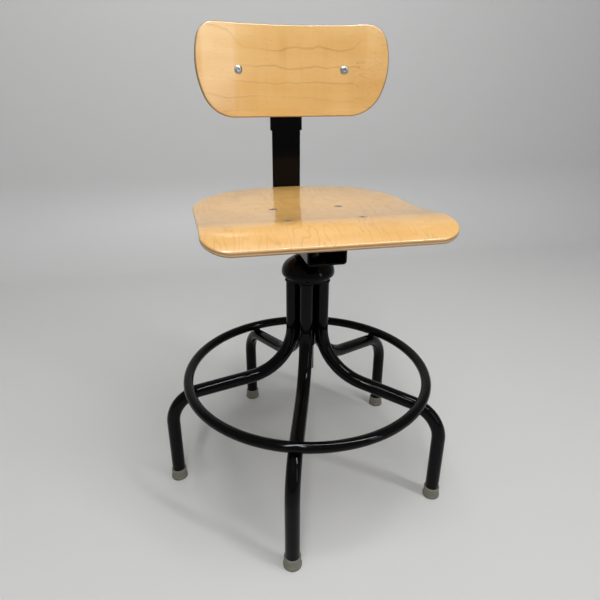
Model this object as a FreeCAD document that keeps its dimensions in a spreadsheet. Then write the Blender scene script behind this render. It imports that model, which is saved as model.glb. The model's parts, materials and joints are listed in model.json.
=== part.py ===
import FreeCAD, Part
import math
import operator
import os
import Sketcher

# Machinist stool: a five-legged tube base with a foot ring, a telescopic stem, a swivelling
# seat on a steel channel, and a backrest that slides and tilts on a flat steel strap.
# Frame: origin on the floor on the column's axis, +Z up, the sitter faces -Y. Millimetres.

# Driving dimensions, one alias each in the Sizes sheet
SIZES = {
    # How far cutting profiles and a board's blank run past the material, and the fit of pieces
    # that are fixed together
    "overcut": 1,
    "blank_margin": 12,
    "weld_gap": 0.05,
    # Legs
    "leg_count": 5,
    "leg_diameter": 25.4,
    "leg_wall": 1.6,
    "leg_top_height": 413,
    "hip_height": 235,
    "hip_bend": 104,
    "knee_height": 191.5,
    "knee_bend": 68,
    "foot_circle_radius": 269,
    "first_leg_angle": -108,
    # Glides
    "glide_height": 22,
    "glide_wall": 1.9,
    "glide_floor": 5,
    "glide_flare": 1.3,
    "glide_edge_bend": 1,
    # Foot ring
    "ring_inset": 35.3,
    "ring_diameter": 19.05,
    "ring_wall": 1.6,
    "ring_weld_radius": 8,
    # Column and what guides the stem in it
    "column_diameter": 31.75,
    "column_wall": 1.65,
    "column_rise": 15,
    "column_length": 146,
    "column_plug_thickness": 6,
    "top_plate_radius": 41.2,
    "top_plate_thickness": 4,
    "bush_length": 16,
    "bush_flange_thickness": 3,
    "running_clearance": 0.05,
    "resting_clearance": 0.3,
    # Bell cover and the lock inside it
    "bell_radius": 49,
    "bell_lip_rise": 14.9,
    "bell_crown_rise": 33,
    "bell_shoulder_bend": 25,
    "bell_lip_bend": 20,
    "bell_sheet": 2,
    "bell_hole_clearance": 0.5,
    "lock_ring_radius": 22,
    "lock_ring_thickness": 5,
    "lock_ring_clearance": 0.4,
    "spring_count": 4,
    "spring_inner_radius": 14.5,
    "spring_outer_radius": 20,
    "spring_sheet": 1.5,
    # Stem and swivel
    "stem_diameter": 25.4,
    "stem_wall": 3,
    "stem_rise": 9,
    "stem_drop": 54,
    "stem_guide_length": 8,
    "catch_groove_count": 10,
    "catch_groove_pitch": 12,
    "catch_groove_width": 3,
    "catch_groove_depth": 0.8,
    "cap_plug_length": 24,
    "cap_disc_radius": 30,
    "cap_disc_thickness": 5,
    "pivot_diameter": 16,
    "thrust_washer_thickness": 2,
    "thrust_washer_radius": 28,
    "hub_flange_radius": 27,
    "hub_flange_thickness": 5.8,
    "hub_sleeve_radius": 12,
    "hub_sleeve_height": 12,
    "swivel_washer_radius": 14,
    "swivel_washer_thickness": 2,
    "swivel_nut_flats": 24,
    "swivel_nut_height": 10,
    # Flat strap that carries the back
    "strap_width": 58,
    "strap_thickness": 6.35,
    "strap_edge_bend": 2.5,
    "strap_behind_seat": 2.4,
    "strap_bend": 32,
    "strap_start_depth": 20,
    "strap_rise": 309.7,
    "strap_corner_bend": 12,
    "slide_clearance": 0.3,
    # Channel under the seat
    "channel_wall": 3,
    "channel_front_depth": -128,
    "channel_rear_depth": 110,
    "channel_tail_height": 22,
    "keeper_thickness": 3,
    "keeper_front_depth": 42,
    "keeper_length": 60,
    # Seat board
    "seat_thickness": 9.5,
    "seat_front_depth": -205,
    "seat_rear_depth": 197.6,
    "seat_front_half": 195,
    "seat_half_width": 198.5,
    "seat_wide_depth": 63,
    "seat_front_bend": 43,
    "seat_rear_fullness": 11.6,
    "seat_crest_depth": -135,
    "seat_crest_rise": 16.5,
    "seat_crest_bend": 160,
    "seat_dish_depth": 75,
    "seat_above_channel": 56.5,
    "board_edge_bend": 3,
    # Seat bolts and the bars they clamp
    "seat_bolt_half_spacing": 59.75,
    "front_bolt_depth": -113,
    "rear_bolt_depth": 20,
    "bar_width": 26,
    "bar_thickness": 4,
    "bolt_diameter": 6,
    "bolt_hole_clearance": 0.3,
    "bolt_head_radius": 7.5,
    "bolt_head_rim": 0.6,
    "bolt_head_height": 1.8,
    "bolt_head_recess": 1,
    "bolt_nut_flats": 10,
    "bolt_nut_height": 5,
    "bolt_tail": 2,
    # Clamp knobs
    "stud_diameter": 8,
    "stud_length": 34,
    "weld_nut_flats": 13,
    "weld_nut_height": 6.5,
    "grip_radius": 19,
    "grip_height": 18,
    "grip_boss_radius": 9,
    "grip_boss_height": 5,
    "grip_lobes": 6,
    "grip_past_stud": 6,
    "grip_scallop_radius": 7,
    "grip_scallop_offset": 4.2,
    "grip_edge_bend": 2.5,
    "depth_knob_depth": 72,
    "height_knob_rise": 41,
    # Sleeve on the strap and the backrest's pivot
    "sleeve_wall": 3,
    "sleeve_length": 124,
    "sleeve_drop": 15,
    "pivot_drop": 17,
    "pivot_standoff": 14,
    "barrel_radius": 9,
    "barrel_half_length": 15.5,
    "back_pin_diameter": 8,
    "back_pin_head_radius": 7,
    "back_pin_head_height": 3,
    "friction_washer_thickness": 1.3,
    "ear_thickness": 4,
    "ear_radius": 10,
    "bracket_height": 30,
    "bracket_thickness": 4,
    "bracket_web": 2,
    "bracket_corner_bend": 7.5,
    # Backrest board
    "back_thickness": 9.5,
    "back_curve": 375,
    "back_lean": 4,
    "back_to_pivot": 32,
    "back_half_width": 175.2,
    "back_widest_rise": 12,
    "back_rise": 75.5,
    "back_drop": 80.5,
    "back_side_bend": 141.5,
    "back_upper_bend": 35,
    "back_lower_bend": 60,
    "back_bolt_half_spacing": 98.4,
}

# How near a length is to a wanted one, and how steep an upright edge is, in tests on edges
NEAR = 0.01
UPRIGHT = 0.9

OPERATIONS = {"+": operator.add, "-": operator.sub, "*": operator.mul, "/": operator.truediv}


class Size:
    """A dimension that keeps its number and the sheet formula it comes from."""

    def __init__(self, number, formula):
        self.number = float(number)
        self.formula = formula

    def __add__(self, other):
        return joined(self, "+", other)

    def __radd__(self, other):
        return joined(other, "+", self)

    def __sub__(self, other):
        return joined(self, "-", other)

    def __rsub__(self, other):
        return joined(other, "-", self)

    def __mul__(self, other):
        return joined(self, "*", other)

    def __rmul__(self, other):
        return joined(other, "*", self)

    def __truediv__(self, other):
        return joined(self, "/", other)

    def __rtruediv__(self, other):
        return joined(other, "/", self)

    def __neg__(self):
        return joined(0, "-", self)


def as_size(value):
    return value if isinstance(value, Size) else Size(value, repr(float(value)))


def joined(left, sign, right):
    left, right = as_size(left), as_size(right)
    number = OPERATIONS[sign](left.number, right.number)
    return Size(number, f"({left.formula} {sign} {right.formula})")


def root(size):
    return Size(math.sqrt(size.number), f"sqrt({size.formula})")


def sine(angle):
    return Size(math.sin(math.radians(angle.number)), f"sin({angle.formula} * 1 deg)")


def cosine(angle):
    return Size(math.cos(math.radians(angle.number)), f"cos({angle.formula} * 1 deg)")


def tangent(angle):
    return Size(math.tan(math.radians(angle.number)), f"tan({angle.formula} * 1 deg)")


def arc_sine(ratio):
    return Size(math.degrees(math.asin(ratio.number)), f"(asin({ratio.formula}) / 1 deg)")


def arc_tangent(ratio):
    return Size(math.degrees(math.atan(ratio.number)), f"(atan({ratio.formula}) / 1 deg)")


class Place:
    """A placement that keeps the formula of its base and turn."""

    def __init__(self, placement, formula):
        self.placement = placement
        self.formula = formula

    def __mul__(self, other):
        return Place(self.placement * other.placement, f"{self.formula} * {other.formula}")


AXIS_X = (1, 0, 0)
AXIS_Y = (0, 1, 0)
AXIS_Z = (0, 0, 1)
ZERO = Size(0, "0")


def at(x=ZERO, y=ZERO, z=ZERO, axis=AXIS_Z, angle=ZERO):
    base = [as_size(value) for value in (x, y, z)]
    angle = as_size(angle)
    turn = FreeCAD.Rotation(FreeCAD.Vector(*axis), angle.number)
    placement = FreeCAD.Placement(FreeCAD.Vector(*[part.number for part in base]), turn)
    base_text = "; ".join(part.formula for part in base)
    axis_text = "; ".join(str(part) for part in axis)
    rotation_text = f"create(<<rotation>>; create(<<vector>>; {axis_text}); {angle.formula})"
    formula = f"create(<<placement>>; create(<<vector>>; {base_text}); {rotation_text})"
    return Place(placement, formula)


doc = FreeCAD.newDocument("MachinistStool")
sheet = doc.addObject("Spreadsheet::Sheet", "Sizes")
for row, (alias, value) in enumerate(SIZES.items(), start=1):
    sheet.set(f"A{row}", alias)
    sheet.set(f"B{row}", str(value))
    sheet.setAlias(f"B{row}", alias)
doc.recompute()


class Named:
    """The driving dimensions by name."""


s = Named()
for alias, value in SIZES.items():
    setattr(s, alias, Size(value, f"Sizes.{alias}"))

NODES = []


# Sketches, bodies and features

def bind(item, name, size):
    item.setExpression(name, size.formula)


def put(item, place):
    item.Placement = place.placement
    item.setExpression("Placement", place.formula)


def finish(item, label, place=None):
    item.Label = label
    if place is not None:
        put(item, place)
    NODES.append(item)
    return item


def new_body(name):
    return doc.addObject("PartDesign::Body", name)


def new_sketch(body, plane_role, offset=None):
    sketch = body.newObject("Sketcher::SketchObject", body.Name + "Sketch")
    plane = next(item for item in body.Origin.OriginFeatures if item.Role == plane_role)
    sketch.AttachmentSupport = [(plane, "")]
    sketch.MapMode = "FlatFace"
    if offset is not None:
        sketch.AttachmentOffset = offset.placement
        sketch.setExpression("AttachmentOffset", offset.formula)
    return sketch


def dimension(sketch, kind, where, size):
    index = sketch.addConstraint(Sketcher.Constraint(kind, *where, size.number))
    sketch.setExpression(f"Constraints[{index}]", size.formula)


def pin_point(sketch, geometry, point, x, y):
    for size, kind, axis_line in ((x, "DistanceX", -2), (y, "DistanceY", -1)):
        if size.formula == "0":
            sketch.addConstraint(Sketcher.Constraint("PointOnObject", geometry, point, axis_line))
        else:
            dimension(sketch, kind, (geometry, point), size)


def add_circle(sketch, x, y, radius):
    centre = FreeCAD.Vector(x.number, y.number, 0)
    circle = sketch.addGeometry(Part.Circle(centre, FreeCAD.Vector(0, 0, 1), radius.number), False)
    dimension(sketch, "Radius", (circle,), radius)
    pin_point(sketch, circle, 3, x, y)


def arc_between(start, end, radius, left_turn):
    """The minor arc from start to end, turning left or right."""
    chord = end - start
    height = math.sqrt(max(radius ** 2 - chord.Length ** 2 / 4, 0))
    side = FreeCAD.Vector(-chord.y, chord.x, 0).normalize()
    centre = (start + end) * 0.5 + side * (height if left_turn else -height)
    first, last = (start, end) if left_turn else (end, start)
    first_angle = math.atan2(first.y - centre.y, first.x - centre.x)
    last_angle = math.atan2(last.y - centre.y, last.x - centre.x)
    circle = Part.Circle(centre, FreeCAD.Vector(0, 0, 1), radius)
    return Part.ArcOfCircle(circle, first_angle, last_angle)


def add_path(sketch, corners, closed=True):
    """Lines and arcs through corners (x, y) or (x, y, radius, turn) for an arc to the next one."""
    points = [FreeCAD.Vector(as_size(c[0]).number, as_size(c[1]).number, 0) for c in corners]
    count = len(corners) if closed else len(corners) - 1
    edges = []
    for k in range(count):
        start, end = points[k], points[(k + 1) % len(corners)]
        if len(corners[k]) == 2:
            index = sketch.addGeometry(Part.LineSegment(start, end), False)
            edges.append((index, 1, 2))
            continue
        radius, left_turn = corners[k][2], corners[k][3] == "left"
        arc = arc_between(start, end, radius.number, left_turn)
        index = sketch.addGeometry(arc, False)
        dimension(sketch, "Radius", (index,), radius)
        edges.append((index, 1, 2) if left_turn else (index, 2, 1))
    for k, (index, first, last) in enumerate(edges):
        pin_point(sketch, index, first, as_size(corners[k][0]), as_size(corners[k][1]))
        if closed or k + 1 < len(edges):
            following = edges[(k + 1) % len(edges)]
            joint = Sketcher.Constraint("Coincident", index, last, following[0], following[1])
            sketch.addConstraint(joint)
    if not closed:
        index, _, last = edges[-1]
        pin_point(sketch, index, last, as_size(corners[-1][0]), as_size(corners[-1][1]))


def rectangle(x_low, x_high, y_low, y_high):
    return [(x_low, y_low), (x_high, y_low), (x_high, y_high), (x_low, y_high)]


def rounded_rectangle(half_x, half_y, bend, y_centre):
    """Corners of a rectangle centred on x = 0 and y_centre, with rounded corners."""
    low, high = y_centre - half_y, y_centre + half_y
    return [
        (bend - half_x, low),
        (half_x - bend, low, bend, "left"),
        (half_x, low + bend),
        (half_x, high - bend, bend, "left"),
        (half_x - bend, high),
        (bend - half_x, high, bend, "left"),
        (-half_x, high - bend),
        (-half_x, low + bend, bend, "left"),
    ]


def hexagon(flats):
    corner = flats / math.sqrt(3)
    angles = [math.radians(30 + 60 * k) for k in range(6)]
    return [(corner * math.cos(angle), corner * math.sin(angle)) for angle in angles]


def add_pad(body, sketch, length, symmetric=False, backwards=False):
    pad = body.newObject("PartDesign::Pad", body.Name + "Pad")
    pad.Profile = sketch
    pad.Length = length.number
    bind(pad, "Length", length)
    pad.SideType = "Symmetric" if symmetric else "One side"
    pad.Reversed = backwards
    doc.recompute()
    return pad


def add_pocket(body, sketch, symmetric=False, backwards=False, length=None):
    """Cuts through all, or as deep as length, and checks that it takes something away."""
    before = body.Shape.Volume
    pocket = body.newObject("PartDesign::Pocket", body.Name + "Pocket")
    pocket.Profile = sketch
    if length is None:
        pocket.Type = "ThroughAll"
    else:
        pocket.Length = length.number
        bind(pocket, "Length", length)
    pocket.SideType = "Symmetric" if symmetric else "One side"
    pocket.Reversed = backwards
    doc.recompute()
    if body.Shape.Volume >= before:
        raise RuntimeError(f"{body.Name}: a pocket cuts nothing")
    return pocket


def add_turned(body, corners, kind="PartDesign::Revolution"):
    """Turns a profile (radius, height) about the body's Z axis."""
    before = body.Shape.Volume if kind == "PartDesign::Groove" else None
    sketch = new_sketch(body, "XZ_Plane")
    add_path(sketch, corners)
    feature = body.newObject(kind, body.Name + "Turned")
    feature.Profile = sketch
    feature.ReferenceAxis = (sketch, ["V_Axis"])
    feature.Angle = 360
    doc.recompute()
    if before is not None and body.Shape.Volume >= before:
        raise RuntimeError(f"{body.Name}: a groove cuts nothing")
    return feature


def add_pipe(body, profile, spine):
    pipe = body.newObject("PartDesign::AdditivePipe", body.Name + "Pipe")
    pipe.Profile = profile
    pipe.Spine = (spine, [])
    doc.recompute()
    return pipe


def add_fillet(body, feature, radius, wanted):
    """Rounds the edges of a feature for which wanted(edge) is true."""
    edges = feature.Shape.Edges
    names = [f"Edge{k}" for k, edge in enumerate(edges, start=1) if wanted(edge)]
    if not names:
        raise RuntimeError(f"{body.Name}: no edges to round")
    fillet = body.newObject("PartDesign::Fillet", body.Name + "Fillet")
    fillet.Base = (feature, names)
    fillet.Radius = radius.number
    bind(fillet, "Radius", radius)
    doc.recompute()
    return fillet


def turned_piece(name, corners, place=None):
    body = new_body(name)
    add_turned(body, corners)
    return finish(body, name, place)


def tube_piece(name, outer, inner, bottom, length):
    """An upright tube or washer on the column's axis."""
    body = new_body(name)
    sketch = new_sketch(body, "XY_Plane", at(z=bottom))
    add_circle(sketch, ZERO, ZERO, outer)
    add_circle(sketch, ZERO, ZERO, inner)
    add_pad(body, sketch, length)
    return finish(body, name)


def nut_body(name, flats, height, bore, place):
    """A hexagon nut that stands on its own XY plane."""
    body = new_body(name)
    sketch = new_sketch(body, "XY_Plane")
    add_path(sketch, hexagon(flats))
    add_circle(sketch, ZERO, ZERO, bore)
    add_pad(body, sketch, height)
    put(body, place)
    return body


def grouped(name, bodies):
    group = doc.addObject("Part::Compound", name)
    group.Links = bodies
    return finish(group, name)


# Places that several pieces share

leg_radius = s.leg_diameter / 2
column_radius = s.column_diameter / 2
column_bore = column_radius - s.column_wall
stem_radius = s.stem_diameter / 2
leg_pitch_radius = column_radius + leg_radius + s.weld_gap

run_slope = arc_tangent((s.hip_height - s.knee_height) / (s.foot_circle_radius - leg_pitch_radius))
half_turn = (run_slope + 90) / 2
hip_setback = s.hip_bend / tangent(half_turn)
knee_setback = s.knee_bend / tangent(half_turn)

knee_centre_radius = s.foot_circle_radius - s.knee_bend
knee_centre_height = s.knee_height - knee_setback
ring_radius = s.foot_circle_radius - s.ring_inset
ring_reach = s.knee_bend + leg_radius + s.ring_diameter / 2 + s.weld_gap
ring_offset = ring_radius - knee_centre_radius
ring_height = knee_centre_height + root(ring_reach * ring_reach - ring_offset * ring_offset)

plate_bottom = s.leg_top_height + s.weld_gap
plate_top = plate_bottom + s.top_plate_thickness
column_top = s.leg_top_height + s.column_rise
column_bottom = column_top - s.column_length
plug_top = column_bottom + s.column_plug_thickness
bush_top = column_top + s.weld_gap + s.bush_flange_thickness
lock_bottom = bush_top + s.resting_clearance
bell_lip = plate_top + s.weld_gap
bell_waist = bell_lip + s.bell_lip_rise
bell_top = bell_waist + s.bell_crown_rise
shoulder_x = s.bell_radius - s.bell_shoulder_bend
crown_bend = (
    shoulder_x * shoulder_x + s.bell_crown_rise * s.bell_crown_rise
    - s.bell_shoulder_bend * s.bell_shoulder_bend
) / ((s.bell_crown_rise - s.bell_shoulder_bend) * 2)
crown_centre = bell_top - crown_bend
stem_bottom = column_bottom - s.stem_drop
stem_top = bell_top + s.stem_rise

cap_bottom = stem_top + s.weld_gap
cap_top = cap_bottom + s.cap_disc_thickness
thrust_bottom = cap_top + s.weld_gap
hub_bottom = thrust_bottom + s.thrust_washer_thickness + s.weld_gap
channel_bottom = hub_bottom + s.hub_flange_thickness + s.weld_gap
channel_floor = channel_bottom + s.channel_wall
hub_top = channel_floor + s.hub_sleeve_height
washer_bottom = hub_top + s.resting_clearance
swivel_nut_bottom = washer_bottom + s.swivel_washer_thickness + s.weld_gap
pivot_radius = s.pivot_diameter / 2

strap_half = s.strap_width / 2
strap_front = s.seat_rear_depth + s.strap_behind_seat
strap_bottom = channel_floor + s.slide_clearance
strap_top_face = strap_bottom + s.strap_thickness
strap_top = strap_bottom + s.strap_rise
sleeve_top = strap_top - s.sleeve_drop
sleeve_bottom = sleeve_top - s.sleeve_length
height_knob_level = sleeve_bottom + s.height_knob_rise
channel_half = strap_half + s.slide_clearance + s.channel_wall
channel_bend = s.strap_edge_bend + s.channel_wall


# Seat board: a crest arc behind the front edge runs into a long dish arc

dish_low = channel_bottom + s.seat_above_channel
crest_top = dish_low + s.seat_crest_rise
crest_centre = crest_top - s.seat_crest_bend
dish_run = s.seat_dish_depth - s.seat_crest_depth
sway_angle = arc_tangent(s.seat_crest_rise / dish_run) * 2
dish_bend = dish_run / sine(sway_angle) - s.seat_crest_bend
dish_centre = dish_low + dish_bend

front_tilt = arc_sine((s.front_bolt_depth - s.seat_crest_depth) / s.seat_crest_bend)
rear_tilt = arc_sine((s.seat_dish_depth - s.rear_bolt_depth) / dish_bend)


def crest_point(radius, angle):
    return s.seat_crest_depth + radius * sine(angle), crest_centre + radius * cosine(angle)


def dish_point(radius, angle):
    return s.seat_dish_depth - radius * sine(angle), dish_centre - radius * cosine(angle)


def crest_height(radius, depth):
    run = depth - s.seat_crest_depth
    return crest_centre + root(radius * radius - run * run)


def dish_height(radius, depth):
    run = depth - s.seat_dish_depth
    return dish_centre - root(radius * radius - run * run)


def side_tangent(low, low_bend, high, high_bend):
    """Ends of the straight side that touches a lower and a higher corner arc on the right."""
    across, up = high[0] - low[0], high[1] - low[1]
    ratio = (low_bend - high_bend) / root(across * across + up * up)
    lean = arc_tangent(across / up) - arc_sine(ratio)
    ends = []
    for centre, bend in ((low, low_bend), (high, high_bend)):
        ends.append((centre[0] + bend * cosine(lean), centre[1] - bend * sine(lean)))
    return ends


def seat_outline():
    """Plan of the seat board: rounded front corners and a full, two-radius rear."""
    front_arc = s.seat_front_bend
    corner_x = s.seat_front_half - front_arc
    reach = s.seat_rear_depth - s.seat_wide_depth
    rear_bend = reach - s.seat_rear_fullness
    inset = s.seat_half_width - rear_bend
    corner = (corner_x, s.seat_front_depth + front_arc)
    wide = (inset, s.seat_wide_depth)
    (front_x, front_y), (rear_x, rear_y) = side_tangent(corner, front_arc, wide, rear_bend)
    rear_curve = (inset * inset + reach * reach - rear_bend * rear_bend) / (
        s.seat_rear_fullness * 2
    )
    share = rear_curve / (rear_curve - rear_bend)
    join_x = inset * share
    join_y = s.seat_rear_depth - rear_curve + (rear_curve - reach) * share
    return [
        (-corner_x, s.seat_front_depth),
        (corner_x, s.seat_front_depth, front_arc, "left"),
        (front_x, front_y),
        (rear_x, rear_y, rear_bend, "left"),
        (join_x, join_y, rear_curve, "left"),
        (-join_x, join_y, rear_bend, "left"),
        (-rear_x, rear_y),
        (-front_x, front_y, front_arc, "left"),
    ]


def keep_inside(body, plane_role, outline, half_x, half_y, offset=None, symmetric=False):
    """Cuts away all of the body that lies outside an outline."""
    sketch = new_sketch(body, plane_role, offset)
    add_path(sketch, rectangle(-half_x, half_x, -half_y, half_y))
    add_path(sketch, outline)
    return add_pocket(body, sketch, symmetric=symmetric)


def on_upper_or_lower_face(shape, upright_axis):
    """Test for edges that bound the board's two broad faces, not its rim's cross edges."""
    def wanted(edge):
        if edge.Curve.TypeId != "Part::GeomLine":
            return True
        direction = edge.tangentAt(edge.FirstParameter)
        return abs(direction.dot(upright_axis)) < UPRIGHT
    return wanted


def make_seat_board():
    body = new_body("seat_board")
    margin = s.blank_margin
    start = s.seat_front_depth - margin
    end = s.seat_rear_depth + margin
    upper, lower = s.seat_crest_bend, s.seat_crest_bend - s.seat_thickness
    dish_upper, dish_lower = dish_bend, dish_bend + s.seat_thickness
    profile = new_sketch(body, "YZ_Plane")
    add_path(profile, [
        (start, crest_height(lower, start), lower, "right"),
        (*crest_point(lower, sway_angle), dish_lower, "left"),
        (end, dish_height(dish_lower, end)),
        (end, dish_height(dish_upper, end), dish_upper, "right"),
        (*crest_point(upper, sway_angle), upper, "left"),
        (start, crest_height(upper, start)),
    ])
    add_pad(body, profile, (s.seat_half_width + margin) * 2, symmetric=True)
    half_y = s.seat_rear_depth - s.seat_front_depth
    trimmed = keep_inside(body, "XY_Plane", seat_outline(), s.seat_half_width + margin * 2, half_y,
                          symmetric=True)
    wanted = on_upper_or_lower_face(trimmed.Shape, FreeCAD.Vector(0, 0, 1))
    add_fillet(body, trimmed, s.board_edge_bend, wanted)
    for frame in (front_bolt_frame(ZERO), rear_bolt_frame(ZERO)):
        cut_seat_holes(body, frame)
    return finish(body, "seat_board")


def front_bolt_frame(below):
    """The frame of the front bolts, a distance below the seat's upper face."""
    y, z = crest_point(s.seat_crest_bend - below, front_tilt)
    return at(ZERO, y, z, AXIS_X, -front_tilt)


def rear_bolt_frame(below):
    y, z = dish_point(dish_bend + below, rear_tilt)
    return at(ZERO, y, z, AXIS_X, -rear_tilt)


def cut_seat_holes(body, frame):
    """Two through holes and the shallow recess for each bolt head."""
    hole = s.bolt_diameter / 2 + s.bolt_hole_clearance
    recess = s.bolt_head_radius + s.bolt_hole_clearance
    for radius, depth, symmetric in ((recess, s.bolt_head_recess, False), (hole, ZERO, True)):
        sketch = new_sketch(body, "XY_Plane", frame * at(z=-depth))
        for side in (-1, 1):
            add_circle(sketch, s.seat_bolt_half_spacing * side, ZERO, radius)
        add_pocket(body, sketch, symmetric=symmetric, backwards=not symmetric)


# Bars that join the channel to the board. The front bar lies along the chord of the crest's
# hollow underside, and the rear bar touches the dish's underside along its middle.

half_bar = s.bar_width / 2
crest_underside = s.seat_crest_bend - s.seat_thickness
front_bar_radius = root(crest_underside * crest_underside - half_bar * half_bar) - s.weld_gap
front_bar_frame = front_bolt_frame(s.seat_crest_bend - front_bar_radius)
rear_bar_frame = rear_bolt_frame(s.seat_thickness + s.weld_gap)


def make_cross_bar(name, frame):
    body = new_body(name)
    sketch = new_sketch(body, "XY_Plane")
    reach = s.seat_bolt_half_spacing
    add_path(sketch, [
        (-reach, -half_bar),
        (reach, -half_bar, half_bar, "left"),
        (reach + half_bar, ZERO, half_bar, "left"),
        (reach, half_bar),
        (-reach, half_bar, half_bar, "left"),
        (-reach - half_bar, ZERO, half_bar, "left"),
    ])
    for side in (-1, 1):
        add_circle(sketch, reach * side, ZERO, s.bolt_diameter / 2 + s.bolt_hole_clearance)
    add_pad(body, sketch, s.bar_thickness, backwards=True)
    return finish(body, name, frame)


def bar_underside(radial, tilt, centre_y, centre_z, side, along):
    """A point (y, z) on the plane a bar's weld gap below its lower face."""
    down = radial + (s.bar_thickness + s.weld_gap) * side
    y = centre_y - down * sine(tilt) * side + along * cosine(tilt)
    z = centre_z - down * cosine(tilt) * side - along * sine(tilt)
    return y, z


def make_channel():
    """Folded channel under the seat: its side walls rise to the two cross bars."""
    body = new_body("seat_channel")
    wall, bend = s.channel_wall, channel_bend
    top = crest_top
    inner = bend - wall
    profile = new_sketch(body, "XZ_Plane", at(z=-s.channel_front_depth))
    add_path(profile, [
        (-channel_half, top),
        (-channel_half, channel_bottom + bend, bend, "left"),
        (bend - channel_half, channel_bottom),
        (channel_half - bend, channel_bottom, bend, "left"),
        (channel_half, channel_bottom + bend),
        (channel_half, top),
        (channel_half - wall, top),
        (channel_half - wall, channel_bottom + bend, inner, "right"),
        (channel_half - bend, channel_floor),
        (bend - channel_half, channel_floor, inner, "right"),
        (wall - channel_half, channel_bottom + bend),
        (wall - channel_half, top),
    ])
    length = s.channel_rear_depth - s.channel_front_depth
    add_pad(body, profile, length, backwards=True)
    cut_wall_tops(body)
    holes = new_sketch(body, "XY_Plane")
    add_circle(holes, ZERO, ZERO, s.hub_sleeve_radius + s.weld_gap)
    add_circle(holes, ZERO, s.depth_knob_depth, s.stud_diameter / 2 + s.resting_clearance)
    add_pocket(body, holes, symmetric=True)
    return finish(body, "seat_channel")


def cut_wall_tops(body):
    """Slopes the walls' upper edges to the bars' undersides and down to a low tail."""
    over = crest_top + s.overcut
    front = (front_bar_radius, front_tilt, s.seat_crest_depth, crest_centre, -1)
    rear = (dish_bend + s.seat_thickness + s.weld_gap, rear_tilt, s.seat_dish_depth, dish_centre, 1)
    nose = bar_underside(*front, s.channel_front_depth - s.front_bolt_depth - s.overcut)
    tail = s.channel_rear_depth + s.overcut
    sketch = new_sketch(body, "YZ_Plane")
    add_path(sketch, [
        nose,
        bar_underside(*front, half_bar),
        bar_underside(*rear, -half_bar),
        bar_underside(*rear, half_bar),
        (tail, channel_bottom + s.channel_tail_height),
        (tail, over),
        (nose[0], over),
    ])
    add_pocket(body, sketch, symmetric=True)


def make_keeper():
    """Plate across the channel that the strap is pressed against."""
    body = new_body("strap_keeper")
    half = channel_half - s.channel_wall - s.weld_gap
    sketch = new_sketch(body, "XY_Plane", at(z=strap_top_face + s.slide_clearance))
    rear = s.keeper_front_depth + s.keeper_length
    add_path(sketch, rectangle(-half, half, s.keeper_front_depth, rear))
    add_pad(body, sketch, s.keeper_thickness)
    return finish(body, "strap_keeper")


def make_strap():
    """Flat bar with round edges: along the channel, round a bend and up behind the seat."""
    body = new_body("back_strap")
    half_thick = s.strap_thickness / 2
    level = strap_bottom + half_thick
    upright = strap_front + half_thick
    bend = s.strap_bend + half_thick
    section = new_sketch(body, "XZ_Plane", at(z=-s.strap_start_depth))
    add_path(section, rounded_rectangle(strap_half, half_thick, s.strap_edge_bend, level))
    spine = new_sketch(body, "YZ_Plane")
    add_path(spine, [
        (s.strap_start_depth, level),
        (upright - bend, level, bend, "left"),
        (upright, level + bend),
        (upright, strap_top),
    ], closed=False)
    add_pipe(body, section, spine)
    corners = new_sketch(body, "XZ_Plane")
    round_off, top = s.strap_corner_bend, strap_top
    for side, turn in ((1, "right"), (-1, "left")):
        inner, outer = (strap_half - round_off) * side, strap_half * side
        beyond = outer + s.overcut * side
        add_path(corners, [
            (inner, top, round_off, turn),
            (outer, top - round_off),
            (beyond, top - round_off),
            (beyond, top + s.overcut),
            (inner, top + s.overcut),
        ])
    add_pocket(body, corners, symmetric=True)
    return finish(body, "back_strap")


# Base

def make_leg(number, place):
    """Bent tube: down the column, out along a sloping run and down to the floor."""
    body = new_body(f"leg_{number}")
    top, foot = s.leg_top_height, s.glide_floor + s.weld_gap
    out, down = cosine(run_slope), sine(run_slope)
    section = new_sketch(body, "XY_Plane", at(z=top))
    add_circle(section, leg_pitch_radius, ZERO, leg_radius)
    add_circle(section, leg_pitch_radius, ZERO, leg_radius - s.leg_wall)
    spine = new_sketch(body, "XZ_Plane")
    add_path(spine, [
        (leg_pitch_radius, top),
        (leg_pitch_radius, s.hip_height + hip_setback, s.hip_bend, "left"),
        (leg_pitch_radius + hip_setback * out, s.hip_height - hip_setback * down),
        (s.foot_circle_radius - knee_setback * out, s.knee_height + knee_setback * down,
         s.knee_bend, "right"),
        (s.foot_circle_radius, knee_centre_height),
        (s.foot_circle_radius, foot),
    ], closed=False)
    add_pipe(body, section, spine)
    return finish(body, f"leg_{number}", place)


def make_glide(number, place):
    """Rubber cup that grips the leg's end and flares to a flat foot."""
    bore = leg_radius + s.weld_gap
    outer = bore + s.glide_wall
    foot = outer + s.glide_flare
    edge = s.glide_edge_bend
    corners = [
        (ZERO, ZERO),
        (foot - edge, ZERO),
        (foot, edge),
        (foot, s.glide_floor),
        (outer, s.glide_floor + s.glide_flare * 2),
        (outer, s.glide_height - edge),
        (outer - edge, s.glide_height),
        (bore, s.glide_height),
        (bore, s.glide_floor),
        (ZERO, s.glide_floor),
    ]
    return turned_piece(f"glide_{number}", corners, place * at(x=s.foot_circle_radius))


def torus(name, tube_radius):
    ring = doc.addObject("Part::Torus", name)
    bind(ring, "Radius1", ring_radius)
    bind(ring, "Radius2", tube_radius)
    put(ring, at(z=ring_height))
    return ring


def make_ring():
    """Foot ring: a closed hoop of tube that rests on the five knees."""
    ring = doc.addObject("Part::Cut", "foot_ring")
    ring.Base = torus("RingOutside", s.ring_diameter / 2)
    ring.Tool = torus("RingInside", s.ring_diameter / 2 - s.ring_wall)
    return finish(ring, "foot_ring")


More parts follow.
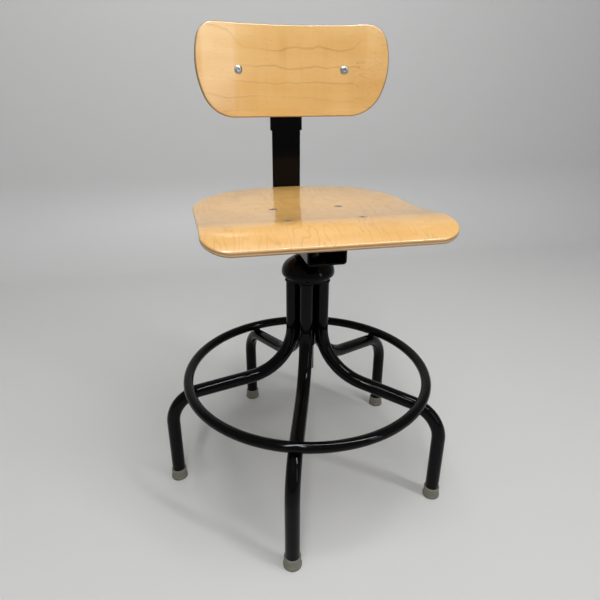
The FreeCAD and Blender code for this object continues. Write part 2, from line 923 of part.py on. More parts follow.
def make_ring_welds(legs, places):
    """Weld beads: short plugs along the line from leg to ring, cut by both tubes."""
    lean = arc_tangent(ring_offset / (ring_height - knee_centre_height))
    beads = []
    for number, (leg, place) in enumerate(zip(legs, places), start=1):
        plug = doc.addObject("Part::Cylinder", f"WeldPlug{number}")
        bind(plug, "Radius", s.ring_weld_radius)
        bind(plug, "Height", ring_reach - s.knee_bend)
        foot = at(knee_centre_radius, ZERO, knee_centre_height, AXIS_Y, lean)
        put(plug, place * foot * at(z=s.knee_bend))
        tubes = doc.addObject("Part::MultiFuse", f"WeldTubes{number}")
        leg_core = doc.addObject("Part::Torus", f"WeldLeg{number}")
        bind(leg_core, "Radius1", s.knee_bend)
        bind(leg_core, "Radius2", leg_radius + s.weld_gap)
        put(leg_core, place * at(knee_centre_radius, ZERO, knee_centre_height, AXIS_X, Size(90, "90")))
        tubes.Shapes = [torus(f"WeldRing{number}", s.ring_diameter / 2 + s.weld_gap), leg_core]
        bead = doc.addObject("Part::Cut", f"WeldBead{number}")
        bead.Base = plug
        bead.Tool = tubes
        beads.append(bead)
    return grouped("ring_welds", beads)


def bell_corners(inset):
    """Outline of the bell, inset from its outside: lip arc, shoulder arc and crown arc."""
    shoulder = s.bell_shoulder_bend
    share = (crown_bend - inset) / (crown_bend - shoulder)
    join = (shoulder_x * share, crown_centre + (bell_waist - crown_centre) * share)
    lip_centre = s.bell_radius - s.bell_lip_bend
    lip_bend = s.bell_lip_bend - inset
    lip_x = lip_centre + root(lip_bend * lip_bend - s.bell_lip_rise * s.bell_lip_rise)
    return [
        (ZERO, bell_lip),
        (lip_x, bell_lip, lip_bend, "left"),
        (s.bell_radius - inset, bell_waist, shoulder - inset, "left"),
        (*join, crown_bend - inset, "left"),
        (ZERO, bell_top - inset),
    ]


def make_bell():
    body = new_body("bell_cover")
    add_turned(body, bell_corners(ZERO))
    add_turned(body, bell_corners(s.bell_sheet), "PartDesign::Groove")
    hole = new_sketch(body, "XY_Plane", at(z=bell_waist))
    add_circle(hole, ZERO, ZERO, stem_radius + s.bell_hole_clearance)
    add_pocket(body, hole, backwards=True)
    return finish(body, "bell_cover")


def make_lock_spring():
    """Stack of coned disc springs between the lock ring and the bell's crown."""
    inner, outer, sheet = s.spring_inner_radius, s.spring_outer_radius, s.spring_sheet
    bottom = lock_bottom + s.lock_ring_thickness + s.weld_gap
    crown_inside = crown_bend - s.bell_sheet
    ceiling = crown_centre + root(crown_inside * crown_inside - outer * outer)
    cone_height = (ceiling - s.resting_clearance - bottom) / s.spring_count - s.weld_gap
    rise = cone_height - sheet
    discs = []
    for k in range(int(s.spring_count.number)):
        low = bottom + (cone_height + s.weld_gap) * k
        inner_low, outer_low = (low, low + rise) if k % 2 else (low + rise, low)
        disc = new_body(f"SpringDisc{k + 1}")
        add_turned(disc, [
            (inner, inner_low),
            (outer, outer_low),
            (outer, outer_low + sheet),
            (inner, inner_low + sheet),
        ])
        discs.append(disc)
    grouped("lock_spring", discs)


def make_base():
    places = []
    legs = []
    for k in range(int(s.leg_count.number)):
        angle = s.first_leg_angle + 360 / s.leg_count * k
        place = at(axis=AXIS_Z, angle=angle)
        places.append(place)
        legs.append(make_leg(k + 1, place))
        make_glide(k + 1, place)
    make_ring()
    make_ring_welds(legs, places)
    tube_piece("column_tube", column_radius, column_bore, column_bottom, s.column_length)
    bush_bore = stem_radius + s.running_clearance
    bush_outer = column_bore - s.weld_gap
    tube_piece("column_plug", bush_outer, bush_bore, column_bottom, s.column_plug_thickness)
    tube_piece("top_plate", s.top_plate_radius, column_radius + s.weld_gap, plate_bottom,
               s.top_plate_thickness)
    flange_bottom = column_top + s.weld_gap
    turned_piece("column_bush", [
        (bush_bore, column_top - s.bush_length),
        (bush_outer, column_top - s.bush_length),
        (bush_outer, flange_bottom),
        (column_radius, flange_bottom),
        (column_radius, bush_top),
        (bush_bore, bush_top),
    ])
    tube_piece("lock_ring", s.lock_ring_radius, stem_radius + s.lock_ring_clearance,
               lock_bottom, s.lock_ring_thickness)
    make_lock_spring()
    make_bell()


# Stem and swivel

def make_stem_tube():
    """Stem with ring grooves for the height catch, the highest one level with the lock ring."""
    body = new_body("stem_tube")
    section = new_sketch(body, "XY_Plane", at(z=stem_bottom))
    add_circle(section, ZERO, ZERO, stem_radius)
    add_circle(section, ZERO, ZERO, stem_radius - s.stem_wall)
    add_pad(body, section, stem_top - stem_bottom)
    half_width = s.catch_groove_width / 2
    level = lock_bottom + s.lock_ring_thickness / 2
    beyond = stem_radius + s.overcut
    groove = add_turned(body, rectangle(stem_radius - s.catch_groove_depth, beyond,
                                        level - half_width, level + half_width),
                        "PartDesign::Groove")
    pattern = body.newObject("PartDesign::LinearPattern", "CatchGrooves")
    pattern.Originals = [groove]
    pattern.Direction = (groove.Profile[0], ["V_Axis"])
    pattern.Reversed = True
    span = s.catch_groove_pitch * (s.catch_groove_count - 1)
    pattern.Length = span.number
    bind(pattern, "Length", span)
    pattern.Occurrences = int(s.catch_groove_count.number)
    bind(pattern, "Occurrences", s.catch_groove_count)
    body.Tip = pattern
    doc.recompute()
    finish(body, "stem_tube")


def make_stem():
    make_stem_tube()
    tube_piece("stem_guide", column_bore - s.running_clearance, stem_radius + s.weld_gap / 2,
               plug_top + s.resting_clearance, s.stem_guide_length)
    plug_radius = stem_radius - s.stem_wall - s.weld_gap
    pivot_top = swivel_nut_bottom + s.swivel_nut_height + s.bolt_tail
    turned_piece("stem_cap", [
        (ZERO, cap_bottom - s.cap_plug_length),
        (plug_radius, cap_bottom - s.cap_plug_length),
        (plug_radius, cap_bottom),
        (s.cap_disc_radius, cap_bottom),
        (s.cap_disc_radius, cap_top),
        (pivot_radius, cap_top),
        (pivot_radius, pivot_top),
        (ZERO, pivot_top),
    ])
    tube_piece("thrust_washer", s.thrust_washer_radius, pivot_radius + s.running_clearance,
               thrust_bottom, s.thrust_washer_thickness)
    tube_piece("swivel_washer", s.swivel_washer_radius, pivot_radius + s.running_clearance,
               washer_bottom, s.swivel_washer_thickness)
    nut = nut_body("swivel_nut", s.swivel_nut_flats, s.swivel_nut_height,
                   pivot_radius + s.weld_gap, at(z=swivel_nut_bottom))
    finish(nut, "swivel_nut")


def bolt_body(name, grip, place):
    """Low round-headed bolt: the head's underside is at z = 0 and the shank runs down."""
    radius = s.bolt_diameter / 2
    dome = s.bolt_head_height - s.bolt_head_rim
    crown = (s.bolt_head_radius * s.bolt_head_radius + dome * dome) / (dome * 2)
    length = grip + s.bolt_nut_height + s.bolt_tail
    body = new_body(name)
    add_turned(body, [
        (ZERO, -length),
        (radius, -length),
        (radius, ZERO),
        (s.bolt_head_radius, ZERO),
        (s.bolt_head_radius, s.bolt_head_rim, crown, "left"),
        (ZERO, s.bolt_head_height),
    ])
    put(body, place)
    return body


def make_seat_fasteners():
    """Four bolts from above and their nuts under the bars, all square to the board."""
    bolts, nuts = [], []
    grip = s.seat_thickness + s.bar_thickness
    seat = s.bolt_head_recess - s.weld_gap
    nut_bore = s.bolt_diameter / 2 + s.weld_gap
    places = ((front_bolt_frame(seat), front_bar_frame), (rear_bolt_frame(seat), rear_bar_frame))
    for head_frame, bar_frame in places:
        for side in (-1, 1):
            x = s.seat_bolt_half_spacing * side
            number = len(bolts) + 1
            bolts.append(bolt_body(f"SeatBolt{number}", grip, head_frame * at(x=x)))
            below = s.bar_thickness + s.weld_gap + s.bolt_nut_height
            nuts.append(nut_body(f"SeatNut{number}", s.bolt_nut_flats, s.bolt_nut_height, nut_bore,
                                 bar_frame * at(x=x, z=-below)))
    grouped("seat_bolts", bolts)
    grouped("seat_nuts", nuts)


def make_swivel_hub():
    """Flanged hub welded through the channel's floor, bored for the pivot."""
    bore = pivot_radius + s.running_clearance
    turned_piece("swivel_hub", [
        (bore, hub_bottom),
        (s.hub_flange_radius, hub_bottom),
        (s.hub_flange_radius, hub_bottom + s.hub_flange_thickness),
        (s.hub_sleeve_radius, hub_bottom + s.hub_flange_thickness),
        (s.hub_sleeve_radius, hub_top),
        (bore, hub_top),
    ])


# Clamp knobs: the screw's tip is at the body's origin and the grip lies below it

def make_clamp(prefix, place):
    stud_radius = s.stud_diameter / 2
    turned_piece(f"{prefix}_stud", rectangle(ZERO, stud_radius, -s.stud_length, ZERO), place)
    body = new_body(f"{prefix}_knob")
    bore = stud_radius + s.weld_gap
    low = -s.stud_length - s.grip_past_stud
    high = low + s.grip_height
    bend = s.grip_edge_bend
    body_top = high + s.grip_boss_height
    add_turned(body, [
        (ZERO, low),
        (s.grip_radius - bend, low),
        (s.grip_radius, low + bend),
        (s.grip_radius, high - bend),
        (s.grip_radius - bend, high),
        (s.grip_boss_radius, high),
        (s.grip_boss_radius, body_top),
        (bore, body_top),
        (bore, -s.stud_length - s.weld_gap),
        (ZERO, -s.stud_length - s.weld_gap),
    ])
    scallop = new_sketch(body, "XY_Plane")
    add_circle(scallop, s.grip_radius + s.grip_scallop_offset, ZERO, s.grip_scallop_radius)
    cut = add_pocket(body, scallop, symmetric=True)
    pattern = body.newObject("PartDesign::PolarPattern", f"{prefix}Lobes")
    pattern.Originals = [cut]
    pattern.Axis = (scallop, ["N_Axis"])
    pattern.Angle = 360
    pattern.Occurrences = int(s.grip_lobes.number)
    bind(pattern, "Occurrences", s.grip_lobes)
    body.Tip = pattern
    doc.recompute()
    finish(body, f"{prefix}_knob", place)


def make_clamps():
    nut_bore = s.stud_diameter / 2 + s.running_clearance
    depth_tip = at(ZERO, s.depth_knob_depth, strap_bottom - s.resting_clearance)
    make_clamp("depth", depth_tip)
    depth_nut = at(ZERO, s.depth_knob_depth, channel_bottom - s.weld_gap - s.weld_nut_height)
    finish(nut_body("depth_nut", s.weld_nut_flats, s.weld_nut_height, nut_bore, depth_nut),
           "depth_nut")
    strap_rear = strap_front + s.strap_thickness
    to_front = Size(90, "90")
    height_tip = at(ZERO, strap_rear + s.resting_clearance, height_knob_level, AXIS_X, to_front)
    make_clamp("height", height_tip)
    sleeve_rear = strap_rear + s.slide_clearance + s.sleeve_wall
    height_nut = at(ZERO, sleeve_rear + s.weld_gap + s.weld_nut_height, height_knob_level,
                    AXIS_X, to_front)
    finish(nut_body("height_nut", s.weld_nut_flats, s.weld_nut_height, nut_bore, height_nut),
           "height_nut")


# Sleeve, pivot and backrest

pivot_depth = strap_front - s.slide_clearance - s.sleeve_wall - s.pivot_standoff
pivot_height = sleeve_top - s.pivot_drop
pin_radius = s.back_pin_diameter / 2
curve_to_pivot = s.back_curve + s.back_to_pivot
back_frame = at(ZERO, pivot_depth, pivot_height, AXIS_X, -s.back_lean) * at(y=-curve_to_pivot)
bracket_inner = s.back_curve + s.back_thickness + s.weld_gap
bracket_outer = bracket_inner + s.bracket_thickness
back_bolt_angle = arc_sine(s.back_bolt_half_spacing / s.back_curve)
ear_inner = s.barrel_half_length + s.friction_washer_thickness + s.running_clearance * 2


def make_sleeve():
    """Folded sleeve that slides on the strap."""
    body = new_body("back_sleeve")
    centre = strap_front + s.strap_thickness / 2
    inner_x = strap_half + s.slide_clearance
    inner_y = s.strap_thickness / 2 + s.slide_clearance
    inner_bend = s.strap_edge_bend
    sketch = new_sketch(body, "XY_Plane", at(z=sleeve_bottom))
    add_path(sketch, rounded_rectangle(inner_x + s.sleeve_wall, inner_y + s.sleeve_wall,
                                       inner_bend + s.sleeve_wall, centre))
    add_path(sketch, rounded_rectangle(inner_x, inner_y, inner_bend, centre))
    add_pad(body, sketch, s.sleeve_length)
    hole = new_sketch(body, "XZ_Plane", at(z=-centre))
    add_circle(hole, ZERO, height_knob_level, s.stud_diameter / 2 + s.resting_clearance)
    add_pocket(body, hole)
    return finish(body, "back_sleeve")


def make_barrel():
    """Pivot barrel with the block that is welded to the sleeve's front."""
    body = new_body("pivot_barrel")
    radius = s.barrel_radius
    wall_face = s.pivot_standoff - s.weld_gap
    sketch = new_sketch(body, "YZ_Plane")
    add_path(sketch, [
        (ZERO, -radius),
        (wall_face, -radius),
        (wall_face, radius),
        (ZERO, radius, radius, "left"),
        (-radius, ZERO, radius, "left"),
    ])
    add_circle(sketch, ZERO, ZERO, pin_radius + s.running_clearance)
    add_pad(body, sketch, s.barrel_half_length * 2, symmetric=True)
    return finish(body, "pivot_barrel", at(ZERO, pivot_depth, pivot_height))


def make_bracket():
    """Bowed bar behind the board with a fork for the pivot."""
    body = new_body("back_bracket")
    spread = back_bolt_angle + arc_sine(s.bracket_height / 2 / s.back_curve)
    across, along = sine(spread), cosine(spread)
    bow = new_sketch(body, "XY_Plane")
    add_path(bow, [
        (-(bracket_inner * across), bracket_inner * along, bracket_inner, "right"),
        (bracket_inner * across, bracket_inner * along),
        (bracket_outer * across, bracket_outer * along, bracket_outer, "left"),
        (-(bracket_outer * across), bracket_outer * along),
    ])
    add_pad(body, bow, s.bracket_height, symmetric=True)
    fork = new_sketch(body, "YZ_Plane")
    radius = s.ear_radius
    root_y = bracket_outer - s.bracket_thickness / 2
    add_path(fork, [
        (root_y, -radius),
        (curve_to_pivot, -radius, radius, "left"),
        (curve_to_pivot + radius, ZERO, radius, "left"),
        (curve_to_pivot, radius),
        (root_y, radius),
    ])
    add_circle(fork, curve_to_pivot, ZERO, pin_radius + s.running_clearance)
    add_pad(body, fork, (ear_inner + s.ear_thickness) * 2, symmetric=True)
    gap = new_sketch(body, "YZ_Plane")
    past_ear = radius + s.overcut
    add_path(gap, rectangle(bracket_outer + s.bracket_web, curve_to_pivot + past_ear,
                            -past_ear, past_ear))
    add_pocket(body, gap, symmetric=True, length=ear_inner * 2)
    cut_back_holes(body, s.bolt_diameter / 2 + s.bolt_hole_clearance)
    corner = body.Tip
    half = s.bracket_height.number / 2
    thick = s.bracket_thickness.number

    def at_bar_corner(edge):
        middle = edge.CenterOfMass
        return abs(edge.Length - thick) < NEAR and abs(abs(middle.z) - half) < NEAR
    add_fillet(body, corner, s.bracket_corner_bend, at_bar_corner)
    return finish(body, "back_bracket", back_frame)


def cut_back_holes(body, radius, start=None):
    """Two radial holes, from the curve's centre outwards or from a start radius inwards."""
    for side in (-1, 1):
        turn = at(axis=AXIS_Y, angle=back_bolt_angle * side)
        if start is None:
            sketch = new_sketch(body, "XZ_Plane", turn)
        else:
            sketch = new_sketch(body, "XZ_Plane", turn * at(z=-start))
        add_circle(sketch, ZERO, ZERO, radius)
        add_pocket(body, sketch, backwards=start is not None)


def side_corner(bend, level):
    """Centre of a corner arc inside the backrest's side arc, and the point where they join."""
    side_centre = s.back_half_width - s.back_side_bend
    inner, lift = s.back_side_bend - bend, level - s.back_widest_rise
    run = root(inner * inner - lift * lift)
    share = s.back_side_bend / inner
    return side_centre + run, (side_centre + run * share, s.back_widest_rise + lift * share)


def make_backrest():
    """Bent plywood backrest: a cylinder sheet trimmed to its front view."""
    body = new_body("backrest_board")
    half = s.back_half_width + s.blank_margin
    inner, outer = s.back_curve, s.back_curve + s.back_thickness
    inner_angle, outer_angle = arc_sine(half / inner), arc_sine(half / outer)
    bow = new_sketch(body, "XY_Plane")
    add_path(bow, [
        (-half, inner * cosine(inner_angle), inner, "right"),
        (half, inner * cosine(inner_angle)),
        (half, outer * cosine(outer_angle), outer, "left"),
        (-half, outer * cosine(outer_angle)),
    ])
    add_pad(body, bow, (s.back_rise + s.back_drop) * 2, symmetric=True)
    side, upper, lower = s.back_side_bend, s.back_upper_bend, s.back_lower_bend
    top, bottom = s.back_rise, -s.back_drop
    low_x, (low_join_x, low_join_z) = side_corner(lower, bottom + lower)
    high_x, (high_join_x, high_join_z) = side_corner(upper, top - upper)
    trimmed = keep_inside(body, "XZ_Plane", [
        (-low_x, bottom),
        (low_x, bottom, lower, "left"),
        (low_join_x, low_join_z, side, "left"),
        (high_join_x, high_join_z, upper, "left"),
        (high_x, top),
        (-high_x, top, upper, "left"),
        (-high_join_x, high_join_z, side, "left"),
        (-low_join_x, low_join_z, lower, "left"),
    ], half + s.blank_margin, s.back_rise + s.back_drop)
    radii = (inner.number, outer.number)

    def on_broad_face(edge):
        ends = [vertex.Point for vertex in edge.Vertexes]
        spans = [math.hypot(point.x, point.y) for point in ends]
        return any(all(abs(span - radius) < NEAR for span in spans) for radius in radii)
    add_fillet(body, trimmed, s.board_edge_bend, on_broad_face)
    cut_back_holes(body, s.bolt_diameter / 2 + s.bolt_hole_clearance)
    cut_back_holes(body, s.bolt_head_radius + s.bolt_hole_clearance,
                   start=s.back_curve + s.bolt_head_recess)
    return finish(body, "backrest_board", back_frame)


def make_back_fasteners():
    bolts, nuts = [], []
    grip = s.back_thickness + s.bracket_thickness
    nut_bore = s.bolt_diameter / 2 + s.weld_gap
    head_radius = s.back_curve + s.bolt_head_recess - s.weld_gap
    nut_radius = bracket_outer + s.weld_gap + s.bolt_nut_height
    to_front = at(axis=AXIS_X, angle=Size(90, "90"))
    for side in (-1, 1):
        ray = back_frame * at(axis=AXIS_Z, angle=back_bolt_angle * side)
        number = len(bolts) + 1
        bolts.append(bolt_body(f"BackBolt{number}", grip, ray * at(y=head_radius) * to_front))
        nuts.append(nut_body(f"BackNut{number}", s.bolt_nut_flats, s.bolt_nut_height, nut_bore,
                             ray * at(y=nut_radius) * to_front))
    grouped("back_bolts", bolts)
    grouped("back_nuts", nuts)


def make_pivot_pin():
    """Cross pin with a head at each end, and a friction washer on each side of the barrel."""
    to_side = back_frame * at(y=curve_to_pivot) * at(axis=AXIS_Y, angle=Size(90, "90"))
    reach = ear_inner + s.ear_thickness + s.weld_gap
    end = reach + s.back_pin_head_height
    turned_piece("pivot_pin", [
        (ZERO, -end),
        (s.back_pin_head_radius, -end),
        (s.back_pin_head_radius, -reach),
        (pin_radius, -reach),
        (pin_radius, reach),
        (s.back_pin_head_radius, reach),
        (s.back_pin_head_radius, end),
        (ZERO, end),
    ], to_side)
    washers = []
    low = s.barrel_half_length + s.running_clearance
    high = low + s.friction_washer_thickness
    bore = pin_radius + s.running_clearance
    for name, first, last in (("WasherLeft", low, high), ("WasherRight", -high, -low)):
        body = new_body(name)
        add_turned(body, rectangle(bore, s.barrel_radius, first, last))
        put(body, to_side)
        washers.append(body)
    grouped("friction_washers", washers)


make_base()
make_stem()
make_swivel_hub()
make_channel()
make_cross_bar("front_cross_bar", front_bar_frame)
make_cross_bar("rear_cross_bar", rear_bar_frame)
make_keeper()
make_seat_board()
make_seat_fasteners()
make_strap()
make_clamps()
make_sleeve()
make_barrel()
make_bracket()
make_backrest()
make_back_fasteners()
make_pivot_pin()
doc.recompute()

for item in doc.Objects:
    if "Invalid" in item.State or "Error" in item.State:
        raise RuntimeError(f"{item.Label} did not recompute: {item.State}")

os.makedirs("parts", exist_ok=True)
for node in NODES:
    shape = node.Shape
    if shape.isNull() or not shape.isValid() or not shape.Solids:
        raise RuntimeError(f"{node.Label} has no valid solid")
    shape.exportStep(os.path.join("parts", node.Label + ".step"))
    box = shape.BoundBox
    print(f"{node.Label}: {len(shape.Solids)} solids, {shape.Volume:.0f} mm3, "
          f"z {box.ZMin:.1f} to {box.ZMax:.1f}")
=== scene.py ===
import json
import math

import bmesh
import bpy
from mathutils import Matrix, Vector


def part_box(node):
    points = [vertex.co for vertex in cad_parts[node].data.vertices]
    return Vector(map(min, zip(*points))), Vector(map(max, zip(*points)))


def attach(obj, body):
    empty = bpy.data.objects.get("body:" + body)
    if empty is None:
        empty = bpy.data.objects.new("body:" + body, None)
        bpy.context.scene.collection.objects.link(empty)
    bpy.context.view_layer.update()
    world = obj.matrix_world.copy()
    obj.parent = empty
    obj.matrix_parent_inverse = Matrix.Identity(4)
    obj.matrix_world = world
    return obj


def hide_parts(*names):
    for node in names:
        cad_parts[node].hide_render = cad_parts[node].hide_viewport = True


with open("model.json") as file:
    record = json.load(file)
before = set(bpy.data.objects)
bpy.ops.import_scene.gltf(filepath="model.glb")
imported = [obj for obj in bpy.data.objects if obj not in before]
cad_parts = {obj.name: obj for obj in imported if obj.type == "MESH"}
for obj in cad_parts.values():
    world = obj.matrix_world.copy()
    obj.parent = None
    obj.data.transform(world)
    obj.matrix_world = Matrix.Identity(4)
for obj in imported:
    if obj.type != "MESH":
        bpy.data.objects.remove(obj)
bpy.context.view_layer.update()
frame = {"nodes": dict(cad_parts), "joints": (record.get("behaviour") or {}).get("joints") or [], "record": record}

# Metres in the part's own frame: +Z up, the sitter faces -Y
MM = 0.001

# Camera that fits the photograph
CAMERA_PLACE = Vector((-0.2052, -0.8546, 0.7571))
CAMERA_PAN = math.radians(12.55)
CAMERA_TILT = math.radians(-23.60)
CAMERA_ROLL = math.radians(0.22)
SENSOR_WIDTH = 36.0
FOCAL_LENGTH = 30.44

# Seat board: the crest's and the dish's arcs in the side view
SEAT_THICK = 9.5 * MM
CREST_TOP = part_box("seat_board")[1][2]
CREST_Y, CREST_BEND = -135 * MM, 160 * MM
DISH_Y, DISH_LOW = 75 * MM, CREST_TOP - 16.5 * MM
SWAY = 2 * math.atan((CREST_TOP - DISH_LOW) / (DISH_Y - CREST_Y))
DISH_BEND = (DISH_Y - CREST_Y) / math.sin(SWAY) - CREST_BEND
JOIN_Y = CREST_Y + CREST_BEND * math.sin(SWAY)

# Backrest board: its pivot and the curve of its front face
JOINT_PLACES = {joint["name"]: joint.get("pos_m") for joint in frame["joints"]}
PIVOT = Vector(JOINT_PLACES["back_tilt"])
BACK_THICK = 9.5 * MM
BACK_BEND = 375 * MM
BACK_LEAN = math.radians(4)
BACK_TO_PIVOT = 32 * MM

# Bolts of both boards, and the clamp screws
BOLT_RADIUS = 3 * MM
HEAD_RADIUS, HEAD_RIM, HEAD_HEIGHT = 7.5 * MM, 0.6 * MM, 1.8 * MM
SOCKET_RADIUS, SOCKET_DEPTH = 2.1 * MM, 1.1 * MM
HEAD_SEAT = 0.95 * MM
SEAT_BOLT_X = 59.75 * MM
SEAT_BOLT_YS = (-113 * MM, 20 * MM)
BACK_BOLT_TURN = math.asin(98.4 * MM / BACK_BEND)
GRIP_THICK, NUT_THICK, BOLT_TAIL = 13.5 * MM, 5 * MM, 2 * MM
BOLT_PITCH = 1.0 * MM
STUD_RADIUS, STUD_LENGTH, STUD_PITCH = 4 * MM, 34 * MM, 1.25 * MM

# Plies in a board and the width of the dark glue line between two
PLY = 1.9 * MM
GLUE = 0.08


class Nodes:
    """A material and short ways to add nodes to its tree."""

    def __init__(self, name):
        self.material = bpy.data.materials.new(name)
        self.material.use_nodes = True
        self.tree = self.material.node_tree
        self.shader = self.tree.nodes["Principled BSDF"]
        self.place = self.add("ShaderNodeTexCoord").outputs["Object"]

    def add(self, kind, **settings):
        node = self.tree.nodes.new(kind)
        for key, value in settings.items():
            setattr(node, key, value)
        return node

    def feed(self, socket, value):
        if isinstance(value, bpy.types.NodeSocket):
            self.tree.links.new(value, socket)
        elif value is not None:
            socket.default_value = value

    def math(self, operation, first, second=None):
        node = self.add("ShaderNodeMath", operation=operation)
        for socket, value in zip(node.inputs, (first, second)):
            self.feed(socket, value)
        return node.outputs[0]

    def parts(self, vector):
        node = self.add("ShaderNodeSeparateXYZ")
        self.feed(node.inputs[0], vector)
        return node.outputs[0], node.outputs[1], node.outputs[2]

    def join(self, x, y, z):
        node = self.add("ShaderNodeCombineXYZ")
        for socket, value in zip(node.inputs, (x, y, z)):
            self.feed(socket, value)
        return node.outputs[0]

    def turned(self, vector, place=(0, 0, 0), turn=(0, 0, 0), scale=(1, 1, 1)):
        """The vector in the frame of a part at a place and turn, then scaled."""
        node = self.add("ShaderNodeMapping", vector_type="TEXTURE")
        self.feed(node.inputs["Vector"], vector)
        node.inputs["Location"].default_value = place
        node.inputs["Rotation"].default_value = turn
        node.inputs["Scale"].default_value = scale
        return node.outputs[0]

    def noise(self, vector, scale, detail=2.0, roughness=0.5):
        node = self.add("ShaderNodeTexNoise")
        self.feed(node.inputs["Vector"], vector)
        self.feed(node.inputs["Scale"], scale)
        node.inputs["Detail"].default_value = detail
        node.inputs["Roughness"].default_value = roughness
        return node.outputs["Fac"]

    def ramp(self, value, *stops):
        """Grey values at positions from 0 to 1."""
        node = self.add("ShaderNodeValToRGB")
        self.feed(node.inputs[0], value)
        elements = node.color_ramp.elements
        while len(elements) < len(stops):
            elements.new(1.0)
        for element, (position, grey) in zip(elements, stops):
            element.position = position
            element.color = (grey, grey, grey, 1.0)
        return node.outputs[0]

    def range(self, value, low, high, to_low=0.0, to_high=1.0):
        """The value's way from low to high, turned into a way between two others and clamped."""
        node = self.add("ShaderNodeMapRange")
        for socket, number in zip(node.inputs, (value, low, high, to_low, to_high)):
            self.feed(socket, number)
        return node.outputs[0]

    def mix(self, factor, first, second):
        node = self.add("ShaderNodeMix", data_type="RGBA")
        self.feed(node.inputs["Factor"], factor)
        for socket, value in ((node.inputs["A"], first), (node.inputs["B"], second)):
            self.feed(socket, value if isinstance(value, bpy.types.NodeSocket) else (*value, 1.0))
        return node.outputs["Result"]

    def set(self, **values):
        """Sets the shader's own sockets, named with underscores for spaces."""
        for key, value in values.items():
            socket = self.shader.inputs[key.replace("_", " ")]
            is_colour = isinstance(value, tuple) and len(value) == 3
            self.feed(socket, (*value, 1.0) if is_colour else value)

    def bump(self, height, strength, distance):
        node = self.add("ShaderNodeBump")
        node.inputs["Strength"].default_value = strength
        node.inputs["Distance"].default_value = distance
        self.feed(node.inputs["Height"], height)
        self.feed(self.shader.inputs["Normal"], node.outputs[0])


# Maple plywood

MAPLE = (0.80, 0.468, 0.138)
MAPLE_PALE = (0.86, 0.55, 0.205)
MAPLE_DEEP = (0.70, 0.37, 0.092)
GRAIN_BROWN = (0.42, 0.18, 0.042)
PLY_LIGHT = (0.74, 0.48, 0.22)
PLY_DARK = (0.40, 0.21, 0.075)
PLY_DEEP = (0.20, 0.075, 0.022)
GLUE_BROWN = (0.13, 0.06, 0.02)

# A growth line darkens slowly over its soft share of the pitch and ends sharply
LINE_FULL, LINE_END = 0.95, 0.97

# How often a metre each noise of the wood repeats, with and across the grain. The ripple's are
# multiples of the swell's.
RIPPLE = (9, 4)
FADE = (7.0, 13.0)
TONE = (4.0, 26.0)
CLOUD = (6.0, 8.0)
FIBRE = (45.0, 900.0)
FLECK = (120.0, 620.0)
CURL, CURL_PATCH = (70.0, 9.0), (9.0, 9.0)
STREAK = (22.0, 22.0)
END_GRAIN, SMEAR = 900.0, 26.0


